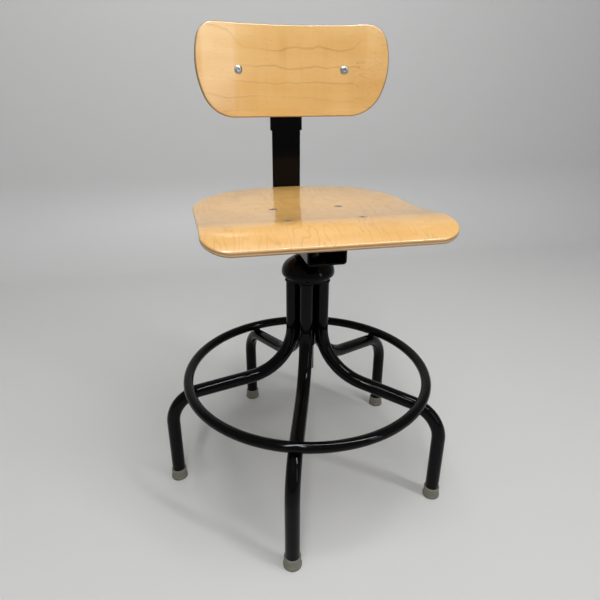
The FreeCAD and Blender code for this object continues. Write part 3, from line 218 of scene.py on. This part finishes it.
def maple(tree, along, across, depth, thick, figure):
    """Lacquered maple: growth lines as contours of a long swell, and plies at the cut edge.

    Along and across are places on the face with and across the grain, depth is the one under it.
    """
    def field(along_scale, across_scale, **settings):
        place = tree.join(tree.math("MULTIPLY", along, along_scale),
                          tree.math("MULTIPLY", across, across_scale), figure["seed"])
        return tree.noise(place, 1.0, **settings)

    swell = field(figure["long"], figure["wide"], detail=1.0, roughness=0.4)
    ripple = field(figure["long"] * RIPPLE[0], figure["wide"] * RIPPLE[1], detail=1.0)
    flames = field(figure["flame_long"], figure["flame_wide"], detail=1.0, roughness=0.4)
    flame_share = tree.range(along, *figure["flames"], 0.0, figure["flame"])
    flames = tree.math("MULTIPLY", tree.math("SUBTRACT", flames, 0.5), flame_share)
    contours = tree.math("ADD", tree.math("MULTIPLY", across, figure["lines"]), flames)
    contours = tree.math("ADD", contours, tree.math("MULTIPLY", swell, figure["swell"]))
    contours = tree.math("ADD", contours, tree.math("MULTIPLY", ripple, figure["ripple"]))
    line = tree.ramp(tree.math("FRACT", contours), (0.0, 0.0), (1 - figure["soft"], 0.0),
                     (LINE_FULL, 1.0), (LINE_END, 1.0), (1.0, 0.0))
    fade = field(*FADE, detail=2.0)
    growth = tree.math("MULTIPLY", line, tree.range(fade, 0.36, 0.62, 0.05, figure["strength"]))
    tone = field(*TONE, detail=3.0)
    cloud = field(*CLOUD, detail=2.0)
    fibre = field(*FIBRE, detail=2.0)
    fleck = tree.range(field(*FLECK, detail=0.0), 0.72, 0.80)
    curl = tree.math("MULTIPLY", field(*CURL, detail=1.0), field(*CURL_PATCH, detail=1.0))

    face = tree.mix(tree.range(tone, 0.35, 0.65), MAPLE, MAPLE_PALE)
    # Painted shade: the whole face is darkened towards the darker maple by the figure's share, strongly on the
    # seat and not at all on the backrest
    face = tree.mix(figure["deep"], face, MAPLE_DEEP)
    face = tree.mix(tree.range(cloud, 0.42, 0.72, 0.0, 0.65), face, MAPLE_DEEP)
    face = tree.mix(tree.range(curl, 0.20, 0.40, 0.0, 0.30), face, MAPLE_PALE)
    face = tree.mix(tree.range(fibre, 0.45, 0.75, 0.0, 0.16), face, MAPLE_DEEP)
    face = tree.mix(tree.math("MULTIPLY", fleck, 0.18), face, GRAIN_BROWN)
    face = tree.mix(growth, face, GRAIN_BROWN)

    layer = tree.math("DIVIDE", depth, PLY)
    parity = tree.math("PINGPONG", tree.math("FLOOR", layer), 1.0)
    end_grain = tree.noise(tree.join(along, across, depth), END_GRAIN, detail=1.0)
    streak = field(*STREAK, detail=2.0)
    dark_ply = tree.mix(tree.range(end_grain, 0.3, 0.7, 0.0, 0.4), PLY_DARK, PLY_LIGHT)
    dark_ply = tree.mix(tree.range(streak, 0.5, 0.7, 0.0, 0.6), dark_ply, PLY_DEEP)
    light_ply = tree.mix(tree.range(end_grain, 0.3, 0.7, 0.0, 0.2), PLY_LIGHT, PLY_DARK)
    edge = tree.mix(parity, light_ply, dark_ply)
    glue = tree.math("LESS_THAN", tree.math("FRACT", layer), GLUE)
    edge = tree.mix(tree.math("MULTIPLY", glue, 0.75), edge, GLUE_BROWN)
    # Painted shade on the cut edges: they are darkened towards glue brown by the figure's share, strongly on the
    # backrest and faintly on the seat
    edge = tree.mix(figure["rim"], edge, GLUE_BROWN)
    below = tree.math("GREATER_THAN", depth, figure["veneer"])
    above = tree.math("LESS_THAN", depth, thick - figure["veneer"])
    inside = tree.math("MULTIPLY", below, above)
    colour = tree.mix(inside, face, edge)

    smear = tree.noise(tree.join(along, across, 0.0), SMEAR, detail=3.0)
    tree.set(Base_Color=colour, Roughness=tree.range(smear, 0.3, 0.7, 0.34, 0.46))
    tree.set(Coat_Weight=0.8, Coat_Roughness=figure["gloss"], Coat_IOR=1.5)
    height = tree.math("ADD", tree.math("MULTIPLY", fibre, 0.5),
                       tree.math("MULTIPLY", growth, -0.4))
    tree.bump(height, 0.10, 0.05 * MM)
    return tree.material


# Each board's figure. Long is how often the swell repeats with the grain, wide how often across
# it, and lines the count of growth lines a metre. They run with the grain and break up into flames
# between two places along it. Veneer is the depth of face that shows no cut edge.
# Two shares of painted shade darken each board's whole face and its cut edges.
SEAT_FIGURE = {"seed": 3.1, "long": 4.2, "wide": 8.0, "swell": 13.0, "lines": 34.0, "ripple": 1.1,
               "flame_long": 12.0, "flame_wide": 55.0, "flames": (-0.09, -0.17), "flame": 5.0,
               "soft": 0.34, "strength": 0.38, "deep": 0.60, "rim": 0.05, "veneer": 1.1 * MM,
               "gloss": 0.10}
BACK_FIGURE = {"seed": 8.4, "long": 3.0, "wide": 6.0, "swell": 3.6, "lines": 30.0, "ripple": 0.55,
               "flame_long": 12.0, "flame_wide": 75.0, "flames": (0.112, 0.165), "flame": 11.0,
               "soft": 0.14, "strength": 0.40, "deep": 0.0, "rim": 0.55, "veneer": 0.3 * MM,
               "gloss": 0.13}


def seat_maple():
    """Depth is measured from the crest's arc in front of where the arcs meet, then the dish's."""
    tree = Nodes("maple_seat")
    x, y, z = tree.parts(tree.place)
    crest_gap = tree.math("SUBTRACT", y, CREST_Y)
    crest_rise = tree.math("SUBTRACT", z, CREST_TOP - CREST_BEND)
    dish_gap = tree.math("SUBTRACT", y, DISH_Y)
    dish_drop = tree.math("SUBTRACT", z, DISH_LOW + DISH_BEND)

    def reach(first, second):
        squares = tree.math("ADD", tree.math("POWER", first, 2.0), tree.math("POWER", second, 2.0))
        return tree.math("SQRT", squares)

    crest_depth = tree.math("SUBTRACT", CREST_BEND, reach(crest_gap, crest_rise))
    dish_depth = tree.math("SUBTRACT", reach(dish_gap, dish_drop), DISH_BEND)
    behind = tree.math("GREATER_THAN", y, JOIN_Y)
    dish_share = tree.math("MULTIPLY", dish_depth, behind)
    crest_share = tree.math("MULTIPLY", crest_depth, tree.math("SUBTRACT", 1.0, behind))
    depth = tree.math("ADD", dish_share, crest_share)
    return maple(tree, y, x, depth, SEAT_THICK, SEAT_FIGURE)


def back_maple():
    """Depth is measured from the front face's arc."""
    tree = Nodes("maple_back")
    local = tree.turned(tree.place, place=PIVOT, turn=(-BACK_LEAN, 0, 0))
    x, y, z = tree.parts(local)
    run = tree.math("ADD", y, BACK_BEND + BACK_TO_PIVOT)
    squares = tree.math("ADD", tree.math("POWER", x, 2.0), tree.math("POWER", run, 2.0))
    depth = tree.math("SUBTRACT", tree.math("SQRT", squares), BACK_BEND)
    return maple(tree, x, z, depth, BACK_THICK, BACK_FIGURE)


# Metals, paint, rubber and plastic

def enamel():
    """Gloss black enamel with a faint orange peel and a trace of dust."""
    tree = Nodes("black_enamel")
    dust = tree.noise(tree.place, 55.0, detail=4.0, roughness=0.65)
    black, dusty = (0.0018, 0.0018, 0.0021), (0.006, 0.0057, 0.005)
    tree.set(Base_Color=tree.mix(tree.range(dust, 0.5, 0.8, 0.0, 0.3), black, dusty))
    tree.set(Roughness=tree.range(dust, 0.35, 0.75, 0.06, 0.13), Specular_IOR_Level=0.12)
    peel = tree.noise(tree.place, 420.0, detail=1.0)
    tree.bump(peel, 0.10, 0.05 * MM)
    return tree.material


def rubber():
    """Olive grey rubber, scuffed, and darker towards the floor."""
    tree = Nodes("glide_rubber")
    _, _, z = tree.parts(tree.place)
    grain = tree.noise(tree.place, 260.0, detail=3.0)
    blotch = tree.noise(tree.place, 60.0, detail=3.0)
    shade = tree.mix(blotch, (0.135, 0.130, 0.098), (0.215, 0.207, 0.158))
    # Darker over the lowest 7 mm, towards the floor
    low = tree.range(z, 0.0, 7 * MM, 0.5, 0.0)
    shade = tree.mix(low, shade, (0.110, 0.105, 0.080))
    tree.set(Base_Color=shade, Roughness=tree.range(grain, 0.3, 0.7, 0.5, 0.72))
    tree.bump(grain, 0.35, 0.15 * MM)
    return tree.material


BARE_ROUGH_SPAN, SKIN_ROUGH_SPAN = 0.16, 0.12
STAIN_SHARE, BLOOM_GAIN, BLOOM_LIFT = 0.55, 1.5, 0.004


def steel(name, colour, rough, stretch):
    """Worn metal with fine lines, drawn out along an axis as stretch says."""
    tree = Nodes(name)
    place = tree.turned(tree.place, scale=stretch)
    lines = tree.noise(place, 500.0, detail=2.0)
    stain = tree.noise(tree.place, 90.0, detail=3.0)
    dull = tuple(value * STAIN_SHARE for value in colour)
    tree.set(Base_Color=tree.mix(tree.range(stain, 0.45, 0.8, 0.0, 0.7), colour, dull))
    tree.set(Metallic=1.0, Roughness=tree.range(lines, 0.3, 0.7, rough, rough + BARE_ROUGH_SPAN))
    tree.bump(lines, 0.15, 0.03 * MM)
    return tree.material


def plastic(name, colour, rough, grain_scale):
    """Moulded plastic with a fine grained skin."""
    tree = Nodes(name)
    grain = tree.noise(tree.place, grain_scale, detail=2.0)
    cloud = tree.noise(tree.place, 70.0, detail=2.0)
    pale = tuple(min(1.0, value * BLOOM_GAIN + BLOOM_LIFT) for value in colour)
    tree.set(Base_Color=tree.mix(tree.range(cloud, 0.4, 0.8, 0.0, 0.6), colour, pale))
    tree.set(Roughness=tree.range(cloud, 0.3, 0.7, rough, rough + SKIN_ROUGH_SPAN))
    tree.bump(grain, 0.3, 0.08 * MM)
    return tree.material


MATERIALS = {
    "frame_enamel": enamel(),
    "glide_rubber": rubber(),
    "stem_steel": steel("dark_stem", (0.085, 0.082, 0.075), 0.22, (1, 1, 12)),
    "bush_nylon": plastic("cream_nylon", (0.55, 0.52, 0.44), 0.42, 900.0),
    "zinc_steel": steel("zinc_plate", (0.46, 0.46, 0.45), 0.26, (1, 1, 1)),
    "seat_bolt_steel": steel("dull_bolt", (0.34, 0.33, 0.31), 0.30, (1, 1, 1)),
    "knob_plastic": plastic("black_plastic", (0.012, 0.012, 0.012), 0.38, 1200.0),
}
BOARDS = {"seat_board": seat_maple(), "backrest_board": back_maple()}

for entry in frame["record"]["subparts"]:
    node = frame["nodes"][entry["node"]]
    material = BOARDS.get(entry["node"]) or MATERIALS[entry["material_slot"]]
    for slot in node.material_slots:
        slot.material = material


# How the scene's own pieces are made

SHARP_ANGLE = math.radians(40)


def new_piece(name, shape, body, material):
    """Turns a bmesh into a piece that rides on a body."""
    bmesh.ops.recalc_face_normals(shape, faces=shape.faces)
    mesh = bpy.data.meshes.new(name)
    shape.to_mesh(mesh)
    shape.free()
    for face in mesh.polygons:
        face.use_smooth = True
    mesh.materials.append(material)
    piece = bpy.data.objects.new(name, mesh)
    bpy.context.scene.collection.objects.link(piece)
    sharp = piece.modifiers.new("sharp", "EDGE_SPLIT")
    sharp.split_angle = SHARP_ANGLE
    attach(piece, body)
    return piece


def add_rings(shape, place, rings, segments, closed=False):
    """Skins rings, each a function from angle to (radius, height). Ends are capped or joined."""
    rows = []
    for ring in rings:
        row = []
        for k in range(segments):
            angle = 2 * math.pi * k / segments
            radius, height = ring(angle)
            point = Vector((radius * math.cos(angle), radius * math.sin(angle), height))
            row.append(shape.verts.new(place @ point))
        rows.append(row)
    for low, high in zip(rows, rows[1:] + rows[:1] if closed else rows[1:]):
        for k in range(segments):
            nearby = (k + 1) % segments
            shape.faces.new((low[k], low[nearby], high[nearby], high[k]))
    if not closed:
        shape.faces.new(rows[0])
        shape.faces.new(rows[-1])


def circle(radius, height):
    return lambda angle: (radius, height)


def hexagon(radius, height):
    """A ring with six flats, radius measured to a flat."""
    def ring(angle):
        off_flat = (angle + math.pi / 6) % (math.pi / 3) - math.pi / 6
        return radius / math.cos(off_flat), height
    return ring


# Bolts and clamp screws in full detail

THREAD_DEPTH, THREAD_CHAMFER = 0.55, 0.6
THREAD_STEPS = 6


def thread(radius, pitch, low, high):
    """Rings of a screw thread that starts and ends in a short chamfer."""
    rings = [circle(radius - pitch * THREAD_CHAMFER, low)]
    count = int((high - low) / pitch * THREAD_STEPS)
    for k in range(1, count):
        level = low + (high - low) * k / count

        def ring(angle, level=level):
            turn = (level / pitch - angle / (2 * math.pi)) % 1.0
            groove = pitch * THREAD_DEPTH * abs(2 * turn - 1)
            return radius - groove, level
        rings.append(ring)
    rings.append(circle(radius - pitch * THREAD_CHAMFER, high))
    return rings


HEAD_SEGMENTS = 36
DOME_RINGS = 6
PLAIN_SHARE = 0.4
SOCKET_LIP = 1.35
SOCKET_CHAMFER, SOCKET_POINT, SOCKET_POINT_DEPTH = 0.15 * MM, 0.2, 0.3 * MM


def bolt_rings():
    """Low round-headed bolt with a hexagon socket: its head's underside is at height 0."""
    end = -(GRIP_THICK + NUT_THICK + BOLT_TAIL)
    plain = -GRIP_THICK * PLAIN_SHARE
    rings = thread(BOLT_RADIUS, BOLT_PITCH, end, plain)
    rings += [circle(BOLT_RADIUS, plain), circle(BOLT_RADIUS, 0.0), circle(HEAD_RADIUS, 0.0),
              circle(HEAD_RADIUS, HEAD_RIM)]
    lip = SOCKET_RADIUS * SOCKET_LIP
    for k in range(1, DOME_RINGS + 1):
        share = k / DOME_RINGS
        radius = HEAD_RADIUS + (lip - HEAD_RADIUS) * share
        height = HEAD_RIM + (HEAD_HEIGHT - HEAD_RIM) * (1 - (1 - share) ** 2)
        rings.append(circle(radius, height))
    bottom = HEAD_HEIGHT - SOCKET_DEPTH
    rings += [hexagon(SOCKET_RADIUS, HEAD_HEIGHT - SOCKET_CHAMFER), hexagon(SOCKET_RADIUS, bottom),
              circle(SOCKET_RADIUS * SOCKET_POINT, bottom - SOCKET_POINT_DEPTH)]
    return rings


def seat_bolt_place(x, y):
    """Head seat on the seat's upper face, square to it."""
    if y < JOIN_Y:
        tilt = math.asin((y - CREST_Y) / CREST_BEND)
        bend, centre = CREST_BEND - HEAD_SEAT, CREST_TOP - CREST_BEND
        where = (x, CREST_Y + bend * math.sin(tilt), centre + bend * math.cos(tilt))
    else:
        tilt = math.asin((DISH_Y - y) / DISH_BEND)
        bend, centre = DISH_BEND + HEAD_SEAT, DISH_LOW + DISH_BEND
        where = (x, DISH_Y - bend * math.sin(tilt), centre - bend * math.cos(tilt))
    return Matrix.Translation(where) @ Matrix.Rotation(-tilt, 4, "X")


def back_bolt_place(side):
    """Head seat on the backrest's front face, square to it, left or right of the middle."""
    lean = Matrix.Translation(PIVOT) @ Matrix.Rotation(-BACK_LEAN, 4, "X")
    centre = lean @ Matrix.Translation((0, -(BACK_BEND + BACK_TO_PIVOT), 0))
    ray = centre @ Matrix.Rotation(BACK_BOLT_TURN * side, 4, "Z")
    seat = Matrix.Translation((0, BACK_BEND + HEAD_SEAT, 0))
    return ray @ seat @ Matrix.Rotation(math.pi / 2, 4, "X")


def make_bolts(name, body, slot, places):
    shape = bmesh.new()
    for place in places:
        add_rings(shape, place, bolt_rings(), HEAD_SEGMENTS)
    return new_piece(name, shape, body, MATERIALS[slot])


def make_stud(node, body, place):
    """Clamp screw with its thread; its tip is at the place's origin and it runs down."""
    shape = bmesh.new()
    add_rings(shape, place, thread(STUD_RADIUS, STUD_PITCH, -STUD_LENGTH, 0.0), HEAD_SEGMENTS)
    piece = new_piece(node + "_thread", shape, body, MATERIALS["zinc_steel"])
    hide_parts(node)


seat_bolt_places = [seat_bolt_place(SEAT_BOLT_X * side, y)
                    for y in SEAT_BOLT_YS for side in (-1, 1)]
piece = make_bolts("seat_bolt_set", "seat", "seat_bolt_steel", seat_bolt_places)
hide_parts("seat_bolts")

back_bolt_places = [back_bolt_place(side) for side in (-1, 1)]
piece = make_bolts("back_bolt_set", "backrest", "zinc_steel", back_bolt_places)
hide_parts("back_bolts")

depth_low, depth_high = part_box("depth_stud")
middle = (Vector(depth_low) + Vector(depth_high)) / 2
make_stud("depth_stud", "depth_clamp",
          Matrix.Translation((middle.x, middle.y, depth_high[2])))

height_low, height_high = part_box("height_stud")
middle = (Vector(height_low) + Vector(height_high)) / 2
make_stud("height_stud", "height_clamp",
          Matrix.Translation((middle.x, height_low[1], middle.z))
          @ Matrix.Rotation(math.pi / 2, 4, "X"))


# Weld beads at the upper ends of the legs

LEG_RADIUS = 12.7 * MM
LEG_PITCH_RADIUS = 28.625 * MM
LEG_END = 413 * MM
LEG_TOP = 420 * MM
LEG_COUNT, FIRST_LEG = 5, math.radians(-108)
BEAD_RADIUS, BEAD_HALF = 1.9 * MM, math.radians(112)
BEAD_STEPS, BEAD_SIDES = 90, 8
BEAD_TAPER, BEAD_THINNEST = 6, 0.15
BEAD_OUT, BEAD_SINK = 0.45, 0.95

# The bead's two ripples: a share of its radius, and how far each runs on in a step
RIPPLE_FINE, FINE_RUN = 0.16, 1.3
RIPPLE_SLOW, SLOW_RUN = 0.07, 0.37


def leg_angle(number):
    return FIRST_LEG + 2 * math.pi * number / LEG_COUNT


def leg_weld(shape, angle):
    """Rippled bead round a leg's top under the plate, open on the side of the column."""
    heart = Vector((math.cos(angle), math.sin(angle), 0)) * LEG_PITCH_RADIUS
    heart.z = LEG_TOP
    rows = []
    for k in range(BEAD_STEPS + 1):
        share = k / BEAD_STEPS
        turn = angle - BEAD_HALF + 2 * BEAD_HALF * share
        out = Vector((math.cos(turn), math.sin(turn), 0))
        taper = min(1.0, BEAD_TAPER * share, BEAD_TAPER * (1 - share))
        ripple = (1 + RIPPLE_FINE * math.sin(k * FINE_RUN)
                  + RIPPLE_SLOW * math.sin(k * SLOW_RUN + angle))
        fat = BEAD_RADIUS * ripple * max(taper, BEAD_THINNEST)
        row = []
        for m in range(BEAD_SIDES):
            roll = 2 * math.pi * m / BEAD_SIDES
            point = heart + out * (LEG_RADIUS + fat * BEAD_OUT * (1 + math.cos(roll)))
            point.z += fat * (math.sin(roll) - BEAD_SINK)
            row.append(shape.verts.new(point))
        rows.append(row)
    for low, high in zip(rows, rows[1:]):
        for m in range(BEAD_SIDES):
            nearby = (m + 1) % BEAD_SIDES
            shape.faces.new((low[m], low[nearby], high[nearby], high[m]))
    shape.faces.new(rows[0])
    shape.faces.new(rows[-1])


def base_piece(name, shape):
    """An enamelled piece of the base."""
    return new_piece(name, shape, "base", MATERIALS["frame_enamel"])


welds = bmesh.new()
for k in range(LEG_COUNT):
    leg_weld(welds, leg_angle(k))
base_piece("leg_welds", welds)


# Boards with eased edges

BOARD_EASE, EASE_STEPS = 1.5 * MM, 3
SAME_PLACE = 0.01 * MM
OUTLINE_ANGLE = math.radians(50)
BOLT_CLEARANCE = HEAD_RADIUS * 3


def eased_board(node, body, bolts):
    """The board with its outline's edges rounded over. Edges near the bolts stay sharp."""
    board = frame["nodes"][node]
    shape = bmesh.new()
    shape.from_mesh(board.data)
    bmesh.ops.remove_doubles(shape, verts=shape.verts, dist=SAME_PLACE)
    centres = [place.translation for place in bolts]
    rim = []
    for edge in shape.edges:
        if len(edge.link_faces) == 2 and edge.calc_face_angle() > OUTLINE_ANGLE:
            if all((edge.verts[0].co - centre).length > BOLT_CLEARANCE for centre in centres):
                rim.append(edge)
    bmesh.ops.bevel(shape, geom=rim, offset=BOARD_EASE, segments=EASE_STEPS, profile=0.5,
                    affect="EDGES", clamp_overlap=True)
    piece = new_piece(node + "_eased", shape, body, BOARDS[node])
    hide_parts(node)


eased_board("seat_board", "seat", seat_bolt_places)
eased_board("backrest_board", "backrest", back_bolt_places)


# Bell cover with a turned-in rim, the plate under it and the ends of the legs

ROUND_SEGMENTS = 96
PLATE_RADIUS, PLATE_BORE, PLATE_EDGE, PLATE_TOP = 41.2 * MM, 16 * MM, 0.6 * MM, 424.9 * MM
WAIST_RADIUS, WAIST_LEVEL, RIM_BEND = 49 * MM, 432 * MM, 7 * MM
SHOULDER_BEND, CROWN_BEND, CROWN_CENTRE = 25 * MM, 65 * MM, 400 * MM
BELL_SHEET, BELL_HOLE = 2 * MM, 13.2 * MM
ARC_STEPS = 12


def arc(centre, level, bend, start, end):
    """Rings of a round stretch of an outline, angles up from the horizontal."""
    rings = []
    for k in range(ARC_STEPS + 1):
        angle = start + (end - start) * k / ARC_STEPS
        rings.append(circle(centre + bend * math.cos(angle), level + bend * math.sin(angle)))
    return rings


def bell_skin(inset):
    """Rings from the rim's foot up to the hole."""
    join = math.atan2(WAIST_LEVEL - CROWN_CENTRE, WAIST_RADIUS - SHOULDER_BEND)
    crown = CROWN_BEND - inset
    return (arc(WAIST_RADIUS - RIM_BEND, WAIST_LEVEL, RIM_BEND - inset, -math.pi / 2, 0.0)
            + arc(WAIST_RADIUS - SHOULDER_BEND, WAIST_LEVEL, SHOULDER_BEND - inset, 0.0, join)
            + arc(0.0, CROWN_CENTRE, crown, join, math.acos(BELL_HOLE / crown)))


bell = bmesh.new()
skin = bell_skin(0.0) + bell_skin(BELL_SHEET)[::-1]
add_rings(bell, Matrix(), skin, ROUND_SEGMENTS, closed=True)
piece = base_piece("bell", bell)
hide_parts("bell_cover")

plate = bmesh.new()
outline = [circle(PLATE_BORE, LEG_TOP), circle(PLATE_RADIUS - PLATE_EDGE, LEG_TOP),
           circle(PLATE_RADIUS, LEG_TOP + PLATE_EDGE), circle(PLATE_RADIUS, PLATE_TOP - PLATE_EDGE),
           circle(PLATE_RADIUS - PLATE_EDGE, PLATE_TOP), circle(PLATE_BORE, PLATE_TOP)]
add_rings(plate, Matrix(), outline, ROUND_SEGMENTS, closed=True)
piece = base_piece("plate", plate)
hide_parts("top_plate")

ends = bmesh.new()
leg_end = [circle(LEG_RADIUS, LEG_END), circle(LEG_RADIUS, LEG_TOP)]
for k in range(LEG_COUNT):
    turn = Matrix.Rotation(leg_angle(k), 4, "Z")
    heart = turn @ Matrix.Translation((LEG_PITCH_RADIUS, 0, 0))
    add_rings(ends, heart, leg_end, ROUND_SEGMENTS)
base_piece("leg_ends", ends)


# Stage: pale floor and backdrop

FLOOR_HALF = 6.0
BACKDROP_Y = 1.55
BACKDROP_TOP = 5.0
COVE, COVE_STEPS = 0.35, 16
FLOOR_COLOUR, FLOOR_ROUGH = (0.60, 0.60, 0.59), 0.6
FLOOR_CLOUD, FLOOR_SHADE = 1.6, 0.97


def pale_floor():
    """Matt and even, with a faint slow cloud."""
    tree = Nodes("pale_floor")
    cloud = tree.noise(tree.place, FLOOR_CLOUD, detail=3.0)
    shade = tuple(value * FLOOR_SHADE for value in FLOOR_COLOUR)
    tree.set(Base_Color=tree.mix(cloud, FLOOR_COLOUR, shade), Roughness=FLOOR_ROUGH)
    return tree.material


def stage_piece(name, outline, material):
    """A sheet along X that follows an outline (y, z)."""
    mesh = bpy.data.meshes.new(name)
    shape = bmesh.new()
    rows = [[shape.verts.new((x, y, z)) for y, z in outline] for x in (-FLOOR_HALF, FLOOR_HALF)]
    for k in range(len(outline) - 1):
        shape.faces.new((rows[0][k], rows[1][k], rows[1][k + 1], rows[0][k + 1]))
    shape.to_mesh(mesh)
    shape.free()
    for face in mesh.polygons:
        face.use_smooth = True
    mesh.materials.append(material)
    sheet = bpy.data.objects.new(name, mesh)
    bpy.context.scene.collection.objects.link(sheet)


cove = []
for step in range(COVE_STEPS + 1):
    angle = math.pi / 2 * step / COVE_STEPS
    cove.append((BACKDROP_Y - COVE + COVE * math.sin(angle), COVE - COVE * math.cos(angle)))
stage_piece("floor", [(-FLOOR_HALF, 0.0)] + cove + [(BACKDROP_Y, BACKDROP_TOP)], pale_floor())


# Lights

def area_light(name, place, target, size, power, colour=(1, 1, 1)):
    """A rectangular lamp that faces a target, its power in watts."""
    light = bpy.data.lights.new(name, "AREA")
    light.shape = "RECTANGLE"
    light.size, light.size_y = size
    light.energy = power
    light.color = colour
    lamp = bpy.data.objects.new(name, light)
    lamp.location = place
    direction = Vector(target) - Vector(place)
    lamp.rotation_euler = direction.to_track_quat("-Z", "Y").to_euler()
    bpy.context.scene.collection.objects.link(lamp)
    return lamp


COOL = (0.90, 0.94, 1.0)
SKY = (0.88, 0.94, 1.0)
ROOM_COLOUR, ROOM_STRENGTH = (0.86, 0.88, 0.90, 1), 0.30

# Soft light from above, two tubes, and lamps that show only as highlights
soft = area_light("ceiling", (0.2, -0.9, 2.8), (0, 0, 0.3), (2.8, 2.2), 28)
soft.visible_glossy = False
area_light("tube_left", (-0.35, -0.9, 2.7), (-0.2, 0, 0.3), (0.08, 2.2), 19)
area_light("tube_right", (0.75, -0.7, 2.7), (0.1, 0, 0.3), (0.08, 2.2), 21)
for side, x in (("left", -0.5), ("right", 0.95)):
    strip = area_light("strip_" + side, (x, -0.8, 2.6), (0, 0, 0.3), (0.10, 2.4), 45, COOL)
    strip.visible_diffuse = False
window = area_light("window", (2.2, -2.35, 1.3), (0, 0, 0.7), (0.5, 1.7), 9, SKY)
window.visible_diffuse = False

# Fill from the front that leaves no highlight
front = area_light("front", (-0.9, -2.6, 1.8), (0, 0, 0.6), (1.6, 1.2), 7)
front.visible_glossy = False

world = bpy.data.worlds.new("room")
world.use_nodes = True
background = world.node_tree.nodes["Background"]
background.inputs["Color"].default_value = ROOM_COLOUR
background.inputs["Strength"].default_value = ROOM_STRENGTH
bpy.context.scene.world = world


# Camera

camera_data = bpy.data.cameras.new("camera")
camera_data.sensor_width = SENSOR_WIDTH
camera_data.lens = FOCAL_LENGTH
camera = bpy.data.objects.new("camera", camera_data)
aim = (Matrix.Rotation(-CAMERA_PAN, 4, "Z")
       @ Matrix.Rotation(math.pi / 2 + CAMERA_TILT, 4, "X")
       @ Matrix.Rotation(CAMERA_ROLL, 4, "Z"))
camera.matrix_world = Matrix.Translation(CAMERA_PLACE) @ aim
bpy.context.scene.collection.objects.link(camera)
bpy.context.scene.camera = camera
bpy.context.scene.view_settings.view_transform = "Standard"

bpy.context.view_layer.update()
